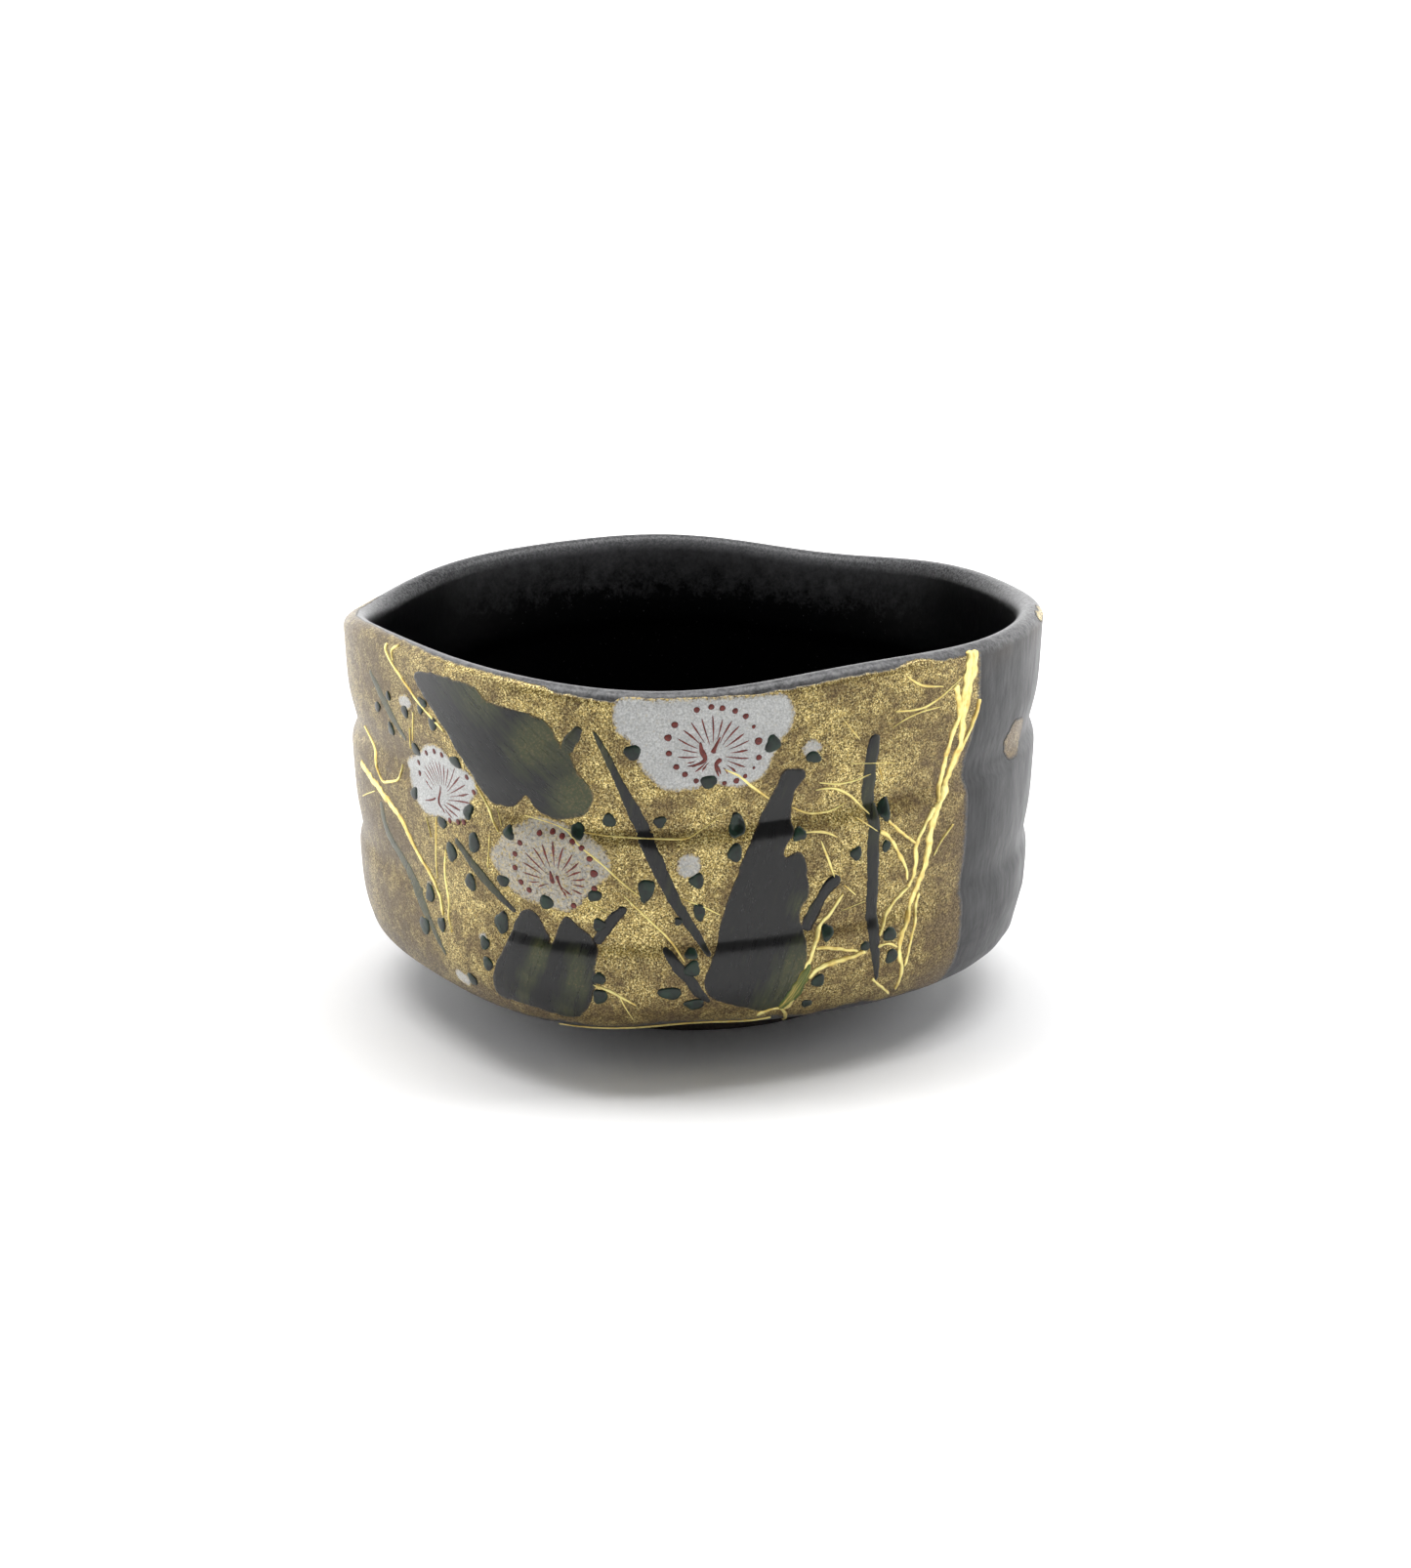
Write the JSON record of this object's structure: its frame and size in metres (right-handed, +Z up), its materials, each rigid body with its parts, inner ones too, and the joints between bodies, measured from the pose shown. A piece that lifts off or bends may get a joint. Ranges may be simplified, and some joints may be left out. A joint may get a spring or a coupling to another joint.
{
  "type": "tea bowl",
  "caption": "Thrown stoneware tea bowl with a wavy lip, a turned foot ring, black glaze, and a gold leaf panel painted with plum blossom.",
  "frame": {"origin": "centre of the foot ring's resting face, on the surface that the bowl stands on", "axes": "+Z up out of the bowl's mouth, the decorated front faces -Y, +X to the right seen from the front"},
  "size_m": [0.1205, 0.1219, 0.0693],
  "materials": {
    "clay": "matte",
    "foot_clay": "matte, fine grained",
    "black_glaze": "satin",
    "inside_glaze": "satin, speckled towards the lip",
    "gold_leaf": "aged leaf, mottled and sparkling",
    "bright_gold": "satin",
    "white_enamel": "mottled, satin",
    "red_enamel": "satin",
    "dark_enamel": "brushed, satin",
    "green_enamel": "raised, glossy"
  },
  "bodies": {
    "root": {"clay_body": "clay", "foot_ring": "foot_clay", "foot_glaze": "black_glaze", "outside_glaze": "black_glaze", "inside_glaze": "inside_glaze", "gold_leaf": "gold_leaf", "gold_flecks": "gold_leaf", "gold_branches": "bright_gold", "gold_threads": "bright_gold", "large_blossom": "white_enamel", "middle_blossom": "white_enamel", "left_blossom": "white_enamel", "large_stamens": "red_enamel", "middle_stamens": "red_enamel", "left_stamens": "red_enamel", "white_buds": "white_enamel", "upper_leaf": "dark_enamel", "tall_leaf": "dark_enamel", "lower_leaves": "dark_enamel", "brush_strokes": "dark_enamel", "green_dots": "green_enamel"}
  },
  "joints": []
}
